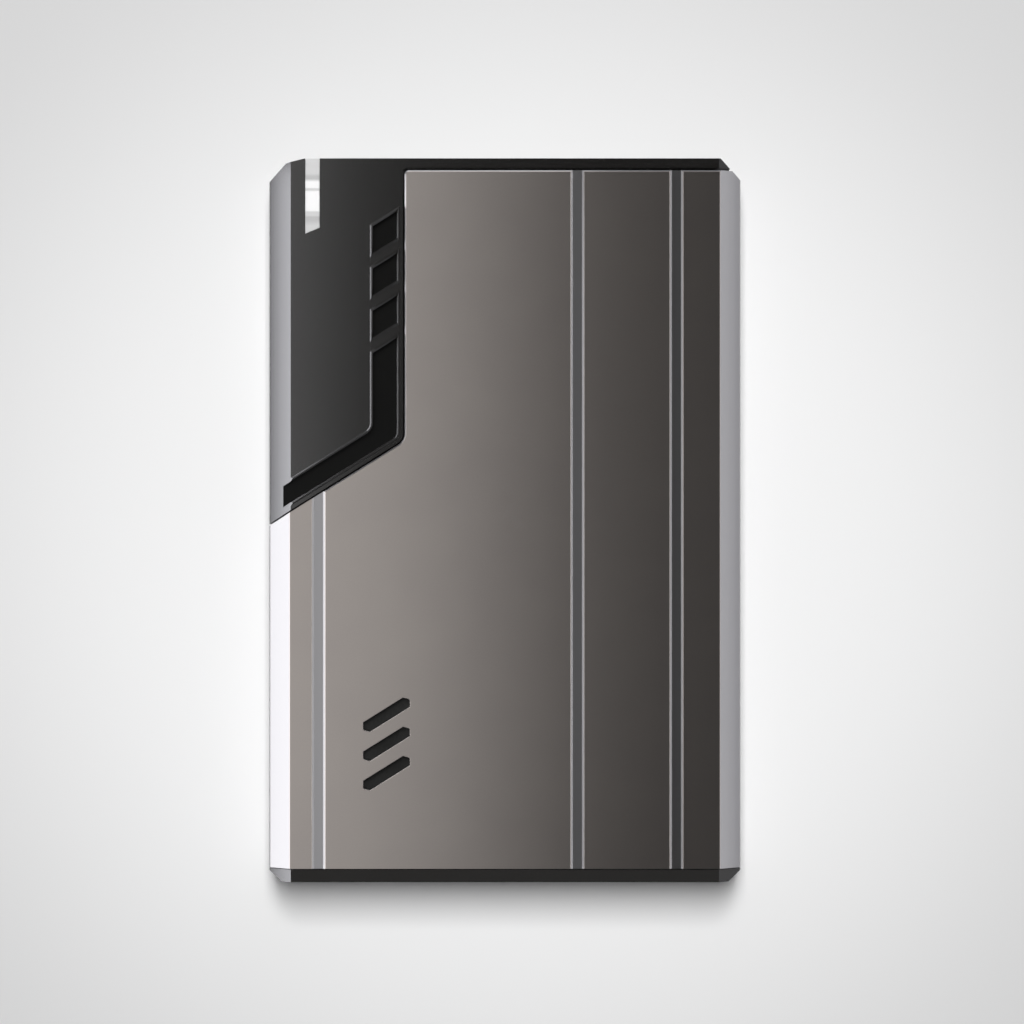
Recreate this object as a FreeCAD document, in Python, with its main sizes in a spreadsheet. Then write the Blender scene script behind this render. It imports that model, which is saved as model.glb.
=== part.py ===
import FreeCAD, Part
import math
import os
import re

import Sketcher

# A portable hard disk drive lies flat with its face up. X runs across it, Y along it towards the
# head end with the port and the light bar, Z up. The origin is under its middle. Millimetres.

SIZES = {
    # The 2.5 inch drive, and the stack that sets the case round it
    "drive_width": 69.85,
    "drive_length": 100.35,
    "drive_height": 7.0,
    "drive_side_gap": 0.275,
    "tray_wall": 2.2,
    "tray_side_gap": 0.3,
    "side_wall": 1.8,
    "face_wall": 1.2,
    "tray_floor": 1.0,
    "pad_height": 0.7,
    "top_gap": 1.9,
    "tail_gap": 0.8,
    "bridge_bay": 15.4,
    "head_lip": 2.0,
    "tail_lip": 2.25,
    # Sleeve section and outline
    "bevel_width": 3.65,
    "bevel_height": 3.0,
    "groove_width": 2.35,
    "groove_depth": 0.3,
    "groove_flank": 0.42,
    "groove_left": 8.4,
    "groove_mid": 27.4,
    "groove_right": 10.87,
    "head_corner": 3.45,
    "shoulder_run": 6.15,
    "shoulder_drop": 3.7,
    "knee_run": 2.9,
    "knee_drop": 0.8,
    "tail_corner_run": 2.1,
    "tail_corner_drop": 1.75,
    "seam_gap": 0.28,
    "head_seam": 0.36,
    "tail_seam": 0.16,
    "fit_gap": 0.05,
    "edge_break": 0.26,
    "side_break": 0.25,
    "cap_drop": 0.3,
    # Corner cover, its windows and the light bar; slant in degrees
    "slant": 32.0,
    "cover_width": 22.5,
    "cover_reach": 61.03,
    "cover_skirt": 8.0,
    "cover_wall": 1.4,
    "cover_bend": 2.05,
    "cover_inner_corner": 0.7,
    "window_inset": 1.04,
    "window_width": 3.98,
    "window_height": 4.41,
    "window_pitch": 7.05,
    "window_reach": 8.85,
    "rim_width": 0.5,
    "rim_height": 0.28,
    "rim_slope": 0.24,
    "band_inset": 1.08,
    "band_width": 2.98,
    "band_end": 2.44,
    "band_outer_bend": 1.3,
    "band_inner_bend": 2.2,
    "backer_thickness": 0.8,
    "backer_margin": 0.9,
    "backer_lap": 2.2,
    "pipe_left": 6.15,
    "pipe_width": 2.46,
    "pipe_length": 12.6,
    "pipe_slant": 22.0,
    "pipe_depth": 1.4,
    "pipe_facet": 3.3,
    "pipe_facet_drop": 0.45,
    # Slanted slots in the sleeve
    "slot_from_left": 19.75,
    "slot_from_tail": 18.2,
    "slot_span": 7.8,
    "slot_width": 1.95,
    "slot_pitch": 4.88,
    "slot_clip_run": 1.15,
    "slot_clip_rise": 1.03,
    "slot_corner": 0.2,
    "slot_break": 0.06,
    "screen_thickness": 0.5,
    "screen_margin": 1.2,
    # End plugs inside the sleeve
    "plug_gap": 0.15,
    "plug_wall": 0.9,
    "plug_end_gap": 0.3,
    "head_plug": 4.0,
    "tail_plug": 3.0,
    # Tray, pads and screws of the drive
    "tray_rise": 6.2,
    "tray_window_side": 12.0,
    "tray_window_end": 22.0,
    "tray_window_corner": 4.0,
    "pad_size": 8.0,
    "pad_inset": 1.5,
    "tail_foam_width": 40.0,
    "tail_foam_height": 4.5,
    "top_foam_width": 7.0,
    "top_foam_length": 60.0,
    "drive_hole_head": 14.0,
    "drive_hole_pitch": 76.6,
    "drive_hole_height": 3.0,
    "drive_hole_depth": 3.0,
    "drive_hole_radius": 1.5,
    "drive_screw_reach": 2.2,
    "drive_screw_head": 2.4,
    "drive_screw_head_height": 1.0,
    "screw_head_gap": 0.2,
    "screw_shank_gap": 0.1,
    # Bridge board and what stands on it
    "boss_height": 1.4,
    "boss_radius": 2.4,
    "boss_inset": 4.0,
    "board_thickness": 1.0,
    "board_inset": 0.5,
    "board_gap": 0.4,
    "board_corner": 1.0,
    "board_screw_radius": 0.95,
    "board_screw_head": 1.8,
    "board_screw_head_height": 1.1,
    "usb_offset": 0.0,
    "usb_width": 12.3,
    "usb_height": 2.9,
    "usb_depth": 7.4,
    "usb_sheet": 0.3,
    "usb_chamfer": 0.7,
    "usb_notch_left": 6.9,
    "usb_notch_width": 1.4,
    "usb_notch_height": 0.75,
    "usb_notch_flank": 0.45,
    "usb_recess": 0.4,
    "usb_clearance": 0.25,
    "usb_block": 2.0,
    "usb_tongue_thickness": 0.6,
    "usb_tongue_short": 0.6,
    "usb_tongue_margin": 0.6,
    "sata_offset": 4.8,
    "sata_width": 42.0,
    "sata_height": 3.8,
    "sata_length": 8.6,
    "sata_key": 12.5,
    "blade_height": 3.5,
    "blade_thickness": 1.2,
    "blade_margin": 1.6,
    "blade_gap": 1.8,
    "blade_recess": 0.6,
    "chip_size": 6.0,
    "chip_height": 0.9,
    "chip_from_middle": 24.0,
    "crystal_length": 3.2,
    "crystal_width": 2.5,
    "led_width": 2.0,
    "led_depth": 1.2,
    "led_height": 1.0,
    # Drive housing
    "drive_corner": 2.0,
    "drive_floor_wall": 2.4,
    "well_wall": 1.7,
    "bay_wall": 4.5,
    "bay_end": 11.0,
    "bay_corner": 3.0,
    "notch_depth": 6.0,
    "notch_gap": 0.5,
    "connector_block": 1.6,
    "connector_height": 4.4,
    "gasket_height": 0.2,
    "gasket_inset": 0.4,
    "gasket_lip": 0.3,
    "lid_sheet": 0.4,
    "lid_raise": 0.3,
    "lid_inset": 0.15,
    "lid_border": 5.0,
    "lid_screw_inset": 3.3,
    "lid_screw_side": 2.2,
    "lid_screw_middle": 30.0,
    "lid_screw_radius": 0.8,
    "lid_screw_head": 1.5,
    "lid_screw_length": 2.4,
    "drive_board_length": 44.0,
    "drive_board_side": 5.0,
    "drive_board_thickness": 0.8,
    "drive_board_recess": 1.0,
    # Disc and its spindle
    "platter_gap": 0.7,
    "platter_lift": 1.3,
    "platter_thickness": 0.8,
    "hub_radius": 10.0,
    "hub_flange": 12.0,
    "shaft_radius": 2.0,
    "bearing_gap": 0.04,
    "bearing_radius": 4.0,
    "bearing_cap": 0.4,
    "bearing_foot": 0.3,
    "stator_radius": 8.5,
    "stator_height": 0.4,
    "run_gap": 0.3,
    "clamp_thickness": 0.5,
    "clamp_hole": 1.1,
    "clamp_hole_ring": 7.0,
    "clamp_screw_radius": 0.9,
    "clamp_screw_head": 2.2,
    "clamp_screw_head_height": 0.4,
    "clamp_screw_depth": 1.2,
    # Arm and its motor; turns in degrees
    "pivot_side": 19.0,
    "pivot_head": 25.4,
    "pivot_radius": 2.6,
    "pivot_flange": 3.6,
    "pivot_flange_height": 0.25,
    "arm_hub": 5.0,
    "arm_length": 36.0,
    "arm_tip": 1.0,
    "arm_tip_width": 1.6,
    "arm_root_width": 7.6,
    "arm_thickness": 0.5,
    "arm_gap": 0.4,
    "park_turn": 17.4,
    "swing": 33.0,
    "coil_inner": 6.2,
    "coil_outer": 10.4,
    "coil_band": 1.1,
    "coil_corner": 0.6,
    "fork_turn": 25.0,
    "fork_width": 1.0,
    "slider_length": 1.2,
    "slider_width": 1.0,
    "slider_height": 0.25,
    "magnet_inner": 6.0,
    "magnet_reach": 11.5,
    "magnet_thickness": 0.8,
    "yoke_reach": 14.0,
    "yoke_gap": 0.6,
    "yoke_thickness": 0.8,
    "yoke_post": 1.1,
    "yoke_post_ring": 12.8,
    "ramp_length": 4.0,
    "ramp_tongue": 1.3,
    "ramp_width": 2.6,
    "ramp_back": 1.4,
    "ramp_gap": 0.12,
    "filter_length": 7.0,
    "filter_width": 3.0,
    "filter_height": 3.0,
    "filter_gap": 0.3,
}

LAYOUT = {
    # Case
    "half_width": "drive_width / 2 + drive_side_gap + tray_wall + tray_side_gap + side_wall",
    "case_height": "2 * face_wall + tray_floor + pad_height + drive_height + top_gap",
    "head_end": "(tail_lip + tail_gap + drive_length + bridge_bay + head_lip) / 2",
    "sleeve_head": "head_end - head_lip",
    "sleeve_tail": "tail_lip - head_end",
    "face_flat": "half_width - bevel_width",
    "bevel_slope": "bevel_height / bevel_width",
    "bevel_tuck": "tan(atan(bevel_height / bevel_width) / 2)",
    "slant_rise": "tan(slant * 1 deg)",
    "slant_cos": "cos(slant * 1 deg)",
    "cap_top": "case_height - cap_drop",
    "cap_flat": "face_flat - cap_drop * bevel_tuck",
    "cap_foot": "cap_drop + (half_width - cap_flat) * bevel_slope",
    # Corner cover
    "seam_x": "cover_width - half_width",
    "cover_foot": "head_end - cover_reach",
    "cover_edge": "case_height - cover_skirt",
    "cover_flat": "cap_flat - cover_wall * bevel_tuck",
    "cover_under": "cap_top - cover_wall",
    "window_right": "seam_x - window_inset",
    "window_left": "window_right - window_width",
    "window_top": "head_end - window_reach",
    "band_tip": "band_end - half_width",
    "pipe_x": "pipe_left - half_width",
    # Stack inside
    "floor_top": "face_wall + tray_floor",
    "drive_floor": "floor_top + pad_height",
    "drive_top": "drive_floor + drive_height",
    "drive_tail": "sleeve_tail + tail_gap",
    "drive_head": "drive_tail + drive_length",
    "drive_half": "drive_width / 2",
    "tray_tail": "sleeve_tail + tail_plug + plug_end_gap",
    "tray_head": "sleeve_head - head_plug - plug_end_gap",
    "tray_inner": "drive_half + drive_side_gap",
    "tray_outer": "tray_inner + tray_wall",
    "tray_foot": "face_flat - face_wall * bevel_tuck - tray_side_gap",
    # Bridge board
    "board_floor": "floor_top + boss_height",
    "board_top": "board_floor + board_thickness",
    "board_half": "drive_half - board_inset",
    "board_tail": "drive_head + board_gap",
    "board_head": "sleeve_head - plug_end_gap",
    "boss_x": "board_half - boss_inset",
    "boss_y": "tray_head - boss_inset",
    "usb_front": "head_end - usb_recess",
    "usb_left": "usb_offset - usb_width / 2",
    "sata_x": "-sata_offset",
    "led_x": "pipe_x + pipe_width / 2",
    "plug_face": "sleeve_head + head_seam",
    # Drive
    "cavity_floor": "drive_floor + drive_floor_wall",
    "lid_top": "drive_top",
    "lid_floor": "drive_top - lid_raise - lid_sheet",
    "rim": "lid_floor - gasket_height",
    "spindle_y": "drive_tail + drive_half",
    "well_radius": "drive_half - well_wall",
    "platter_radius": "well_radius - platter_gap",
    "platter_floor": "cavity_floor + platter_lift",
    "platter_top": "platter_floor + platter_thickness",
    "bay_half": "drive_half - bay_wall",
    "bay_head": "drive_head - bay_end",
    "notch_tail": "drive_head - notch_depth",
    "block_head": "notch_tail + connector_block",
    "board_ceiling": "drive_floor + drive_board_recess",
    "blade_middle": "drive_floor + blade_height",
    "stator_top": "cavity_floor + stator_height",
    "pivot_x": "drive_half - pivot_side",
    "pivot_y": "drive_head - pivot_head",
    "arm_low": "platter_floor - arm_gap - arm_thickness",
    "arm_high": "platter_top + arm_gap + arm_thickness",
}

WINDOWS = 3
SLOTS = 3
CLAMP_HOLES = 6

NEAR = 1e-4
NAME = re.compile(r"[a-z]\w*")
VIEWS = {"plan": ("XY_Plane", 1), "section": ("XZ_Plane", -1), "side": ("YZ_Plane", 1)}
SIDEWAYS = FreeCAD.Rotation(FreeCAD.Vector(0, 1, 0), 90)

document = FreeCAD.newDocument("portable_hard_disk_drive")
nodes = []


def bound(text):
    """The expression with each size's name turned into a reference to its cell."""
    def cell(match):
        word = match.group()
        if word in SIZES:
            return "Sizes." + word
        if word in LAYOUT:
            return "Layout." + word
        return word
    return NAME.sub(cell, text)


def fill_sheet(name, cells, prefix):
    """A sheet with one named cell a row."""
    sheet = document.addObject("Spreadsheet::Sheet", name)
    for row, (alias, content) in enumerate(cells.items(), 1):
        sheet.set(f"A{row}", alias)
        sheet.set(f"B{row}", prefix + bound(str(content)))
        sheet.setAlias(f"B{row}", alias)
    document.recompute()
    return sheet


fill_sheet("Sizes", SIZES, "")
layout = fill_sheet("Layout", LAYOUT, "=")


def value(text):
    """The number that an expression gives now."""
    return float(layout.evalExpression(bound(text)))


def hold_point(drawing, geometry, end, x, y):
    """Bind a point of a sketch to two expressions."""
    for kind, text in (("DistanceX", x), ("DistanceY", y)):
        rule = Sketcher.Constraint(kind, -1, 1, geometry, end, value(text))
        drawing.setExpression(f"Constraints[{drawing.addConstraint(rule)}]", bound(text))


def draw_circle(drawing, x, y, radius):
    centre = FreeCAD.Vector(value(x), value(y), 0)
    circle = drawing.addGeometry(Part.Circle(centre, FreeCAD.Vector(0, 0, 1), value(radius)), False)
    hold_point(drawing, circle, 3, x, y)
    rule = Sketcher.Constraint("Radius", circle, value(radius))
    drawing.setExpression(f"Constraints[{drawing.addConstraint(rule)}]", bound(radius))


def draw_outline(drawing, corners):
    """A closed outline of (x, y) corners; a corner with a third entry is rounded by that radius."""
    spots = [FreeCAD.Vector(value(corner[0]), value(corner[1]), 0) for corner in corners]
    arrivals, departures = [], []
    for i, corner in enumerate(corners):
        spot, back, ahead = spots[i], spots[i - 1] - spots[i], spots[(i + 1) % len(spots)] - spots[i]
        reach = value(corner[2]) / math.tan(back.getAngle(ahead) / 2) if len(corner) == 3 else 0
        arrivals.append(spot + back * (reach / back.Length))
        departures.append(spot + ahead * (reach / ahead.Length))
    lines = []
    for i in range(len(corners)):
        line = Part.LineSegment(departures[i], arrivals[(i + 1) % len(corners)])
        lines.append(drawing.addGeometry(line, False))
    for i, corner in enumerate(corners):
        if len(corner) == 2:
            drawing.addConstraint(Sketcher.Constraint("Coincident", lines[i - 1], 2, lines[i], 1))
            hold_point(drawing, lines[i], 1, *corner)
            continue
        round_corner(drawing, corner, spots[i], arrivals[i], departures[i], lines[i - 1], lines[i])


def round_corner(drawing, corner, spot, arrival, departure, line_in, line_out):
    """An arc that is tangent to two lines of an outline, held by the corner where they would meet."""
    radius = value(corner[2])
    inward = (arrival + departure) * 0.5 - spot
    half = (arrival - spot).getAngle(inward)
    centre = spot + inward * (radius / math.sin(half) / inward.Length)
    turns_left = (spot - arrival).cross(departure - spot).z > 0
    first, last = (arrival, departure) if turns_left else (departure, arrival)
    angles = [math.atan2(end.y - centre.y, end.x - centre.x) for end in (first, last)]
    circle = Part.Circle(centre, FreeCAD.Vector(0, 0, 1), radius)
    arc = drawing.addGeometry(Part.ArcOfCircle(circle, *angles), False)
    start, end = (1, 2) if turns_left else (2, 1)
    drawing.addConstraint(Sketcher.Constraint("Tangent", line_in, 2, arc, start))
    drawing.addConstraint(Sketcher.Constraint("Tangent", arc, end, line_out, 1))
    rule = Sketcher.Constraint("Radius", arc, radius)
    drawing.setExpression(f"Constraints[{drawing.addConstraint(rule)}]", bound(corner[2]))
    point = drawing.addGeometry(Part.Point(spot), True)
    hold_point(drawing, point, 1, corner[0], corner[1])
    drawing.addConstraint(Sketcher.Constraint("PointOnObject", point, 1, line_in))
    drawing.addConstraint(Sketcher.Constraint("PointOnObject", point, 1, line_out))


def sketch(body, name, view, start, loops):
    """A sketch across one of the body's own axes; a loop is a list of corners or one circle."""
    plane, turn = VIEWS[view]
    drawing = body.newObject("Sketcher::SketchObject", name)
    support = next(item for item in body.Origin.OriginFeatures if item.Role == plane)
    drawing.AttachmentSupport = [(support, "")]
    drawing.MapMode = "FlatFace"
    drawing.setExpression("AttachmentOffset.Base.z", bound(f"{turn} * ({start})"))
    for loop in loops:
        if isinstance(loop, tuple):
            draw_circle(drawing, *loop)
        else:
            draw_outline(drawing, loop)
    return drawing


def feature(body, kind, name, view, loops, low, high):
    """A pad or pocket that fills or cuts the loops from low to high along the view's axis."""
    along_normal = (kind == "Pad") == (VIEWS[view][1] > 0)
    drawing = sketch(body, name + "_sketch", view, low if along_normal else high, loops)
    made = body.newObject("PartDesign::" + kind, name)
    made.Profile = drawing
    made.setExpression("Length", bound(f"({high}) - ({low})"))
    drawing.Visibility = False
    document.recompute()
    return made


def pad(body, name, view, loops, low, high):
    return feature(body, "Pad", name, view, loops, low, high)


def pocket(body, name, view, loops, low, high):
    return feature(body, "Pocket", name, view, loops, low, high)


def new_body(label):
    body = document.addObject("PartDesign::Body", label)
    nodes.append(body)
    return body


def place(thing, x="0", y="0", z="0", turn="0"):
    """Bind where a thing stands and how far it is turned about Z."""
    for axis, text in (("x", x), ("y", y), ("z", z)):
        thing.setExpression("Placement.Base." + axis, bound(text))
    thing.setExpression("Placement.Rotation.Angle", bound(turn))


def rectangle(x, y, corner=None):
    """Four corners from a (low, high) pair each way, rounded if a radius is given."""
    spots = [(x[0], y[0]), (x[1], y[0]), (x[1], y[1]), (x[0], y[1])]
    return [spot + (corner,) for spot in spots] if corner else spots


def mirrored(half):
    return f"-({half})", half


def revolved(label, profile, x="0", y="0"):
    """A turned piece from a closed (radius, height) profile, standing on its own axis."""
    body = new_body(label)
    drawing = sketch(body, label + "_profile", "section", "0", [profile])
    made = body.newObject("PartDesign::Revolution", label + "_turned")
    made.Profile = drawing
    made.ReferenceAxis = (drawing, ["V_Axis"])
    made.Angle = 360
    drawing.Visibility = False
    place(body, x, y)
    document.recompute()
    return body


def block(name, x, y, z):
    """A box from a (low, high) pair along each axis."""
    box = document.addObject("Part::Box", name)
    for size, axis, (low, high) in zip(("Length", "Width", "Height"), "xyz", (x, y, z)):
        box.setExpression(size, bound(f"({high}) - ({low})"))
        box.setExpression("Placement.Base." + axis, bound(low))
    return box


def rod(name, radius, low, high, x="0", y="0", z="0", sideways=False):
    """A cylinder from low to high along Z, or along X if it lies sideways."""
    bar = document.addObject("Part::Cylinder", name)
    if sideways:
        bar.Placement = FreeCAD.Placement(FreeCAD.Vector(), SIDEWAYS)
        x = low
    else:
        z = low
    bar.setExpression("Radius", bound(radius))
    bar.setExpression("Height", bound(f"({high}) - ({low})"))
    for axis, text in (("x", x), ("y", y), ("z", z)):
        bar.setExpression("Placement.Base." + axis, bound(text))
    return bar


def sector(name, radius, turn, low, high):
    """A slice of a cylinder about the Z axis, from half its turn on one side to half on the other."""
    slice_ = document.addObject("Part::Cylinder", name)
    slice_.setExpression("Radius", bound(radius))
    slice_.setExpression("Height", bound(f"({high}) - ({low})"))
    slice_.setExpression("Angle", bound(turn))
    slice_.setExpression("Placement.Base.z", bound(low))
    slice_.setExpression("Placement.Rotation.Angle", bound(f"-({turn}) / 2"))
    return slice_


def cut(name, base, tool):
    made = document.addObject("Part::Cut", name)
    made.Base = base
    made.Tool = tool
    return made


def fuse(name, pieces):
    made = document.addObject("Part::MultiFuse", name)
    made.Shapes = pieces
    return made


def group(label, pieces):
    """Like pieces that share one node."""
    made = document.addObject("Part::Compound", label)
    made.Links = pieces
    nodes.append(made)
    return made


def break_edges(body, name, size, wanted):
    """A small chamfer on the edges of the body's last feature that the test picks."""
    base = body.Tip
    picked = [f"Edge{i}" for i, edge in enumerate(base.Shape.Edges, 1) if wanted(edge)]
    made = body.newObject("PartDesign::Chamfer", name)
    made.Base = (base, picked)
    made.setExpression("Size", bound(size))
    document.recompute()
    return made


def case_section(face, side):
    """The case's bevelled section, set in by one wall from its faces and bevels and one from its sides."""
    flat = f"(face_flat - ({face}) * bevel_tuck)"
    wide = f"(half_width - ({side}))"
    rise = f"((bevel_width + ({face}) * bevel_tuck - ({side})) * bevel_slope)"
    low = f"({face})"
    high = f"(case_height - ({face}))"
    right = [(flat, low), (wide, f"{low} + {rise}"), (wide, f"{high} - {rise}"), (flat, high)]
    left = [("-" + x, z) for x, z in reversed(right)]
    return right + left


def cover_outline(gap, top):
    """The corner cover's outline up to its top, grown by a gap."""
    slope_y = f"cover_foot - ({gap}) / slant_cos"
    right = f"seam_x + ({gap})"
    outside = "-half_width - bevel_width"
    return [
        (outside, f"{slope_y} - bevel_width * slant_rise"),
        (right, f"{slope_y} + (cover_width + ({gap})) * slant_rise", f"cover_bend + ({gap})"),
        (right, top, "cover_inner_corner"),
        (f"{right} + 2 * cover_inner_corner", top),
        (f"{right} + 2 * cover_inner_corner", "sleeve_head + head_lip / 2"),
        (outside, "sleeve_head + head_lip / 2"),
    ]


def head_corners():
    """What the two plan corners at the head end lose: one straight cut, and one with a knee."""
    right = [
        ("half_width - head_corner", "head_end"),
        ("half_width + bevel_width", "head_end - head_corner - bevel_width"),
        ("half_width + bevel_width", "head_end"),
    ]
    slope = "(shoulder_drop - knee_drop) / knee_run"
    left = [
        ("shoulder_run - half_width", "head_end"),
        ("-half_width - bevel_width", "head_end"),
        ("-half_width - bevel_width", f"head_end - shoulder_drop - bevel_width * {slope}"),
        ("knee_run - half_width", "head_end - knee_drop"),
    ]
    return [right, left]


def parallelogram(x, y, rise, height):
    """Upright ends at the (low, high) pair x, slanted edges that start at y on the left."""
    left, right = x
    far = f"{y} + {rise}"
    return [(left, y), (right, far), (right, f"{far} + {height}"), (left, f"{y} + {height}")]


def slot_outline():
    """The first slanted slot: upright ends, with the two sharp corners clipped."""
    left = "slot_from_left - half_width - slot_span / 2"
    right = "slot_from_left - half_width + slot_span / 2"
    foot = "slot_from_tail - head_end - slot_span / 2 * slant_rise - slot_width / 2 / slant_cos"
    rise = "slot_span * slant_rise"
    height = "slot_width / slant_cos"
    clip = "slot_clip_run * slant_rise"
    spots = [
        (f"{left} + slot_clip_run", f"{foot} + {clip}"),
        (right, f"{foot} + {rise}"),
        (right, f"{foot} + {rise} + {height} - slot_clip_rise"),
        (f"{right} - slot_clip_run", f"{foot} + {rise} + {height} - {clip}"),
        (left, f"{foot} + {height}"),
        (left, f"{foot} + slot_clip_rise"),
    ]
    return [spot + ("slot_corner",) for spot in spots]


def on_face(edge):
    """Whether an edge lies in the plane of the case's face."""
    return abs(edge.BoundBox.ZMin - value("case_height")) < NEAR


def on_sleeve_seam(edge):
    """The face's edges along the head cap: across the head end and round the corner cover."""
    middle = edge.CenterOfMass
    across_head = abs(middle.y - value("sleeve_head")) < NEAR
    by_cover = middle.x < value("seam_x + seam_gap + cover_inner_corner")
    beyond_groove = middle.x > value("groove_left - half_width + groove_width / 2")
    above_slots = middle.y > value("cover_foot")
    return on_face(edge) and (across_head or by_cover and beyond_groove and above_slots)


def on_slot(edge):
    """The face's edges round the slanted slots."""
    box = edge.BoundBox
    within_left = box.XMin > value("slot_from_left - half_width - slot_span / 2") - NEAR
    within_right = box.XMax < value("slot_from_left - half_width + slot_span / 2") + NEAR
    return on_face(edge) and within_left and within_right and box.YMax < value("cover_foot")


def on_rim(edge):
    """The top edges of the windows' rims."""
    return abs(edge.BoundBox.ZMin - value("cap_top + rim_height")) < NEAR


def on_side(foot):
    """A test for the long edges where the bevels meet the sides, at a foot's height from the faces."""
    def test(edge):
        box = edge.BoundBox
        at_side = abs(abs(box.XMin) - value("half_width")) < NEAR and box.XLength < NEAR
        height = min(box.ZMin, value("case_height") - box.ZMin)
        return at_side and box.ZLength < NEAR and abs(height - value(foot)) < NEAR
    return test


def make_sleeve():
    """Extruded tube: bevelled section, three grooves in the face, the corner cut out, three slots."""
    body = new_body("sleeve")
    outer = case_section("0", "0")
    notches = []
    for middle in ("half_width - groove_right", "half_width - groove_mid", "groove_left - half_width"):
        notches += [
            (f"{middle} + groove_width / 2", "case_height"),
            (f"{middle} + groove_width / 2 - groove_flank", "case_height - groove_depth"),
            (f"{middle} - groove_width / 2 + groove_flank", "case_height - groove_depth"),
            (f"{middle} - groove_width / 2", "case_height"),
        ]
    grooved = outer[:4] + notches + outer[4:]
    inner = case_section("face_wall", "side_wall")
    pad(body, "tube", "section", [grooved, inner], "sleeve_tail", "sleeve_head")
    cut_out = cover_outline("seam_gap", "sleeve_head")
    pocket(body, "corner_cut_out", "plan", [cut_out], "cover_edge", "case_height")
    pocket(body, "head_corner_cuts", "plan", head_corners(), "0", "case_height")
    slot = pocket(body, "slot", "plan", [slot_outline()], "case_height - face_wall", "case_height")
    rows = body.newObject("PartDesign::LinearPattern", "slots")
    rows.Originals = [slot]
    rows.Direction = (slot.Profile[0], ["V_Axis"])
    rows.setExpression("Length", bound(f"slot_pitch * {SLOTS - 1}"))
    rows.Occurrences = SLOTS
    body.Tip = rows
    document.recompute()
    break_edges(body, "bright_edges", "edge_break", on_sleeve_seam)
    break_edges(body, "slot_edges", "slot_break", on_slot)
    break_edges(body, "side_edges", "side_break", on_side("bevel_height"))


def make_head_cap():
    """One moulding: end plate, plug, and the corner cover with its windows, slot and port opening."""
    body = new_body("head_cap")
    edge = "cover_edge + seam_gap"
    outline = cover_outline("0", "plug_face")
    outline[0] = ("-half_width", "cover_foot")
    outline[-1] = ("-half_width", "sleeve_head + head_lip / 2")
    pad(body, "cover_prism", "plan", [outline], edge, "cap_top")
    rim_top = "cap_top + rim_height"
    pad(body, "window_rims", "plan", window_outlines("rim_width"), "cap_top", rim_top)
    pocket(body, "windows", "plan", window_outlines("0"), "cover_under - bevel_height", rim_top)
    break_edges(body, "rim_slopes", "rim_slope", on_rim)
    bevel = [
        ("-cap_flat - 2 * bevel_width", "cap_top - 2 * bevel_height"),
        ("-cap_flat + bevel_width", "cap_top + bevel_height"),
        ("-cap_flat - 2 * bevel_width", "cap_top + bevel_height"),
    ]
    pocket(body, "cover_bevel", "section", [bevel], "cover_foot - bevel_width", "head_end")
    wide = "side_wall - half_width"
    hollow = [
        (wide, "0"),
        (wide, "cover_under - (half_width - side_wall - cover_flat) * bevel_slope"),
        ("-cover_flat", "cover_under"),
        ("half_width", "cover_under"),
        ("half_width", "0"),
    ]
    pocket(body, "cover_hollow", "section", [hollow], "cover_foot - bevel_width", "plug_face")
    pad(body, "end_plate", "section", [case_section("cap_drop", "0")], "plug_face", "head_end")
    pad(body, "plug", "section", plug_section(), "sleeve_head - head_plug", "plug_face")
    pocket(body, "head_corner_cuts", "plan", head_corners(), "0", "case_height")
    pocket(body, "light_slot", "plan", [pipe_outline("0")], "cap_top - pipe_depth", "cap_top")
    arm = rectangle(("pipe_x", "pipe_x + pipe_width"), ("plug_face", "head_end"))
    pocket(body, "light_notch", "plan", [arm], "board_top", "cap_top")
    port = rectangle(
        ("usb_left - usb_clearance", "usb_left + usb_width + usb_clearance"),
        ("board_top - usb_clearance", "board_top + usb_height + usb_clearance"),
        "usb_clearance",
    )
    pocket(body, "port_opening", "section", [port], "plug_face", "head_end")
    break_edges(body, "side_edges", "side_break", on_side("cap_foot"))


def plug_section():
    """Ring inside the sleeve's end, tight between its faces and free at its sides."""
    outer = case_section("face_wall", "side_wall + plug_gap")
    inner = case_section("face_wall + plug_wall", "side_wall + plug_gap + plug_wall")
    return [outer, inner]


def band_y(x, across, gap="0"):
    """Height of the bent window's slanted edge at x, from its lower edge to its upper one."""
    return f"cover_foot + ({x} + half_width) * slant_rise + (band_inset + {across} + ({gap})) / slant_cos"


def window_outlines(grow):
    """Three slanted windows above a fourth that bends along the cover's edge, all grown by a rim."""
    left = f"(window_left - {grow})"
    right = f"(window_right + {grow})"
    tip = f"(band_tip - {grow})"
    rise = f"({right} - {left}) * slant_rise"
    height = f"(window_height + 2 * {grow} / slant_cos)"
    first = f"window_top + {grow} * slant_rise + {grow} / slant_cos"
    outlines = []
    for i in range(WINDOWS):
        foot = f"{first} - {i} * window_pitch - {rise} - {height}"
        outlines.append(parallelogram((left, right), foot, rise, height))
    top = f"{first} - {WINDOWS} * window_pitch"
    outlines.append([
        (tip, band_y(tip, "0", f"-{grow}")),
        (right, band_y(right, "0", f"-{grow}"), f"band_outer_bend + {grow}"),
        (right, top),
        (left, f"{top} - {rise}"),
        (left, band_y(left, "band_width", grow), f"band_inner_bend - {grow}"),
        (tip, band_y(tip, "band_width", grow)),
    ])
    return outlines


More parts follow.
